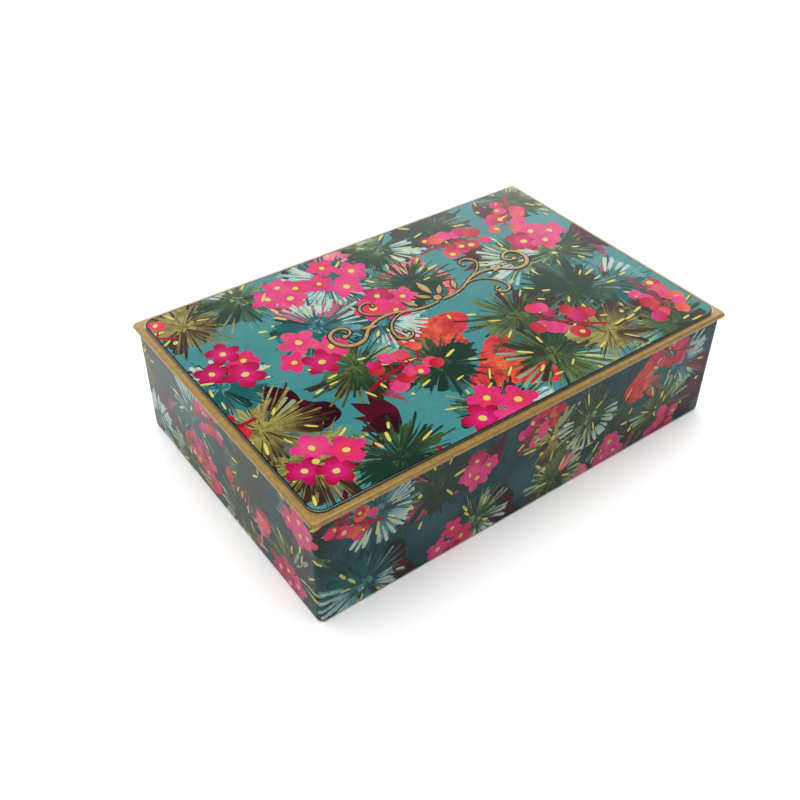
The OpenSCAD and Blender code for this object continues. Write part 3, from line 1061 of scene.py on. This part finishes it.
def gold_material():
    mat, nodes, links, shader = new_material("gold_ink")
    coords = nodes.new("ShaderNodeTexCoord").outputs["Object"]
    tone = span(nodes, links, noise(nodes, links, coords, 500, 4), 0.3, 0.7, 0, 1)
    colour = mixed(nodes, links, tone, (0.200, 0.121, 0.032), (0.266, 0.166, 0.048))
    links.new(colour, shader.inputs["Base Color"])
    shader.inputs["Metallic"].default_value = 0.2
    shader.inputs["Specular IOR Level"].default_value = 0.15
    rough = span(nodes, links, noise(nodes, links, coords, 2200, 2), 0.3, 0.7, 0.3, 0.42)
    links.new(rough, shader.inputs["Roughness"])
    shader.inputs["Coat Weight"].default_value = 0.3
    shader.inputs["Coat Roughness"].default_value = 0.12
    bumped(nodes, links, shader, noise(nodes, links, coords, 1500, 2), 0.05, 0.0002)
    return mat


def black_material():
    mat, nodes, links, shader = new_material("black_line")
    coords = nodes.new("ShaderNodeTexCoord").outputs["Object"]
    tone = span(nodes, links, noise(nodes, links, coords, 700, 3), 0.3, 0.7, 0, 1)
    links.new(mixed(nodes, links, tone, (0.008, 0.011, 0.011), (0.018, 0.023, 0.022)),
              shader.inputs["Base Color"])
    links.new(span(nodes, links, noise(nodes, links, coords, 400, 2), 0.3, 0.7, 0.25, 0.4),
              shader.inputs["Roughness"])
    shader.inputs["Coat Weight"].default_value = 0.7
    shader.inputs["Coat Roughness"].default_value = 0.08
    return mat


def lacquer_material():
    """Tinplate under clear gold lacquer, with the fine lines of the rolling mill along X."""
    mat, nodes, links, shader = new_material("gold_lacquered_tinplate")
    coords = nodes.new("ShaderNodeTexCoord").outputs["Object"]
    stretch = nodes.new("ShaderNodeMapping")
    stretch.inputs["Scale"].default_value = (9, 5200, 5200)
    links.new(coords, stretch.inputs["Vector"])
    lines = noise(nodes, links, stretch.outputs[0], 1.0, 4, 0.6)
    tone = span(nodes, links, lines, 0.3, 0.7, 0, 1)
    links.new(mixed(nodes, links, tone, (0.73, 0.60, 0.35), (0.80, 0.67, 0.42)),
              shader.inputs["Base Color"])
    shader.inputs["Metallic"].default_value = 1.0
    links.new(span(nodes, links, lines, 0.3, 0.7, 0.3, 0.38), shader.inputs["Roughness"])
    shader.inputs["Coat Weight"].default_value = 0.5
    shader.inputs["Coat Roughness"].default_value = 0.1
    bumped(nodes, links, shader, lines, 0.06, 0.00003)
    return mat


def steel_material():
    mat, nodes, links, shader = new_material("drawn_steel")
    coords = nodes.new("ShaderNodeTexCoord").outputs["Object"]
    stretch = nodes.new("ShaderNodeMapping")
    stretch.inputs["Scale"].default_value = (60, 5000, 5000)
    links.new(coords, stretch.inputs["Vector"])
    lines = noise(nodes, links, stretch.outputs[0], 1.0, 3, 0.6)
    links.new(mixed(nodes, links, span(nodes, links, lines, 0.3, 0.7, 0, 1),
                    (0.42, 0.41, 0.39), (0.62, 0.61, 0.58)), shader.inputs["Base Color"])
    shader.inputs["Metallic"].default_value = 1.0
    links.new(span(nodes, links, lines, 0.3, 0.7, 0.22, 0.38), shader.inputs["Roughness"])
    bumped(nodes, links, shader, lines, 0.15, 0.00003, coat=False)
    return mat


def floor_material():
    mat, nodes, links, shader = new_material("studio_floor")
    coords = nodes.new("ShaderNodeTexCoord").outputs["Object"]
    tone = span(nodes, links, noise(nodes, links, coords, 4, 2), 0.3, 0.7, 0, 1)
    links.new(mixed(nodes, links, tone, (0.86, 0.86, 0.86), (0.88, 0.88, 0.88)),
              shader.inputs["Base Color"])
    shader.inputs["Roughness"].default_value = 0.9
    shader.inputs["Specular IOR Level"].default_value = 0.1
    return mat


# ---- the studio ----


def make_floor():
    size = 1.0
    mesh = bpy.data.meshes.new("floor")
    mesh.from_pydata([(-size, -size, 0), (size, -size, 0), (size, size, 0), (-size, size, 0)], [],
                     [(0, 1, 2, 3)])
    floor = bpy.data.objects.new("floor", mesh)
    floor.location.z = -0.0001
    bpy.context.scene.collection.objects.link(floor)
    mesh.materials.append(floor_material())


def area_light(name, at, target, size, power, colour=(1, 1, 1)):
    data = bpy.data.lights.new(name, "AREA")
    data.shape = "RECTANGLE"
    data.size, data.size_y = size
    data.energy = power
    data.color = colour
    light = bpy.data.objects.new(name, data)
    light.location = at
    light.rotation_mode = "QUATERNION"
    light.rotation_quaternion = (Vector(target) - Vector(at)).to_track_quat("-Z", "Y")
    light.visible_camera = False
    bpy.context.scene.collection.objects.link(light)
    return light


def make_lights():
    area_light("overhead", (-0.3, 0.05, 1.6), (-0.3, 0.05, 0), (1.9, 1.9), 43)


def make_world():
    """Dim overhead and pale near the horizon, with a backdrop behind the tin that reaches
    higher, so that its haze lies on the rear of the lid."""
    world = bpy.data.worlds.new("studio")
    world.use_nodes = True
    nodes, links = world.node_tree.nodes, world.node_tree.links
    way = nodes.new("ShaderNodeSeparateXYZ")
    links.new(nodes.new("ShaderNodeTexCoord").outputs["Generated"], way.inputs[0])
    low = span(nodes, links, way.outputs["Z"], math.sin(math.radians(24)),
               math.sin(math.radians(41)), 1, 0)
    facing = maths(nodes, links, "ADD", maths(nodes, links, "MULTIPLY", way.outputs["X"], 0.6),
                   maths(nodes, links, "MULTIPLY", way.outputs["Y"], 0.8))
    behind = span(nodes, links, facing, 0.2, 0.6, 0, 1)
    backdrop = maths(nodes, links, "MULTIPLY", low, behind)
    horizon = span(nodes, links, way.outputs["Z"], math.sin(math.radians(12)),
                   math.sin(math.radians(24)), 0.96, 0.1)
    strength = maths(nodes, links, "ADD", maths(nodes, links, "MULTIPLY", backdrop, 5.2), horizon)
    links.new(strength, nodes["Background"].inputs["Strength"])
    nodes["Background"].inputs["Color"].default_value = (1, 1, 1, 1)
    bpy.context.scene.world = world


def make_camera():
    """The view: from the front left, about 40 degrees down, close by."""
    data = bpy.data.cameras.new("camera")
    data.sensor_width = 36
    data.lens = 45.143
    data.shift_x, data.shift_y = -0.03, -0.035
    data.clip_start = 0.01
    camera = bpy.data.objects.new("camera", data)
    camera.location = (-0.19138, -0.23719, 0.26736)
    heading, tilt, roll = math.radians(38.26), math.radians(38.861), math.radians(1.672)
    camera.rotation_mode = "QUATERNION"
    camera.rotation_quaternion = (
        Matrix.Rotation(-heading, 4, "Z") @ Matrix.Rotation(math.pi / 2 - tilt, 4, "X")
        @ Matrix.Rotation(roll, 4, "Z")).to_quaternion()
    bpy.context.scene.collection.objects.link(camera)
    bpy.context.scene.camera = camera


bpy.context.scene.view_settings.view_transform = "Standard"

PRINT, GOLD_INK, BLACK_LINE, LACQUER = (
    print_material(), gold_material(), black_material(), lacquer_material())
make_lid()
make_wall()


def dress(node, mat):
    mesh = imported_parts[node].data
    mesh.materials.clear()
    mesh.materials.append(mat)


STEEL = steel_material()
dress("base_panel", LACQUER)
dress("hinge_wire_left", STEEL)
dress("hinge_wire_right", STEEL)

make_floor()
make_lights()
make_world()
make_camera()
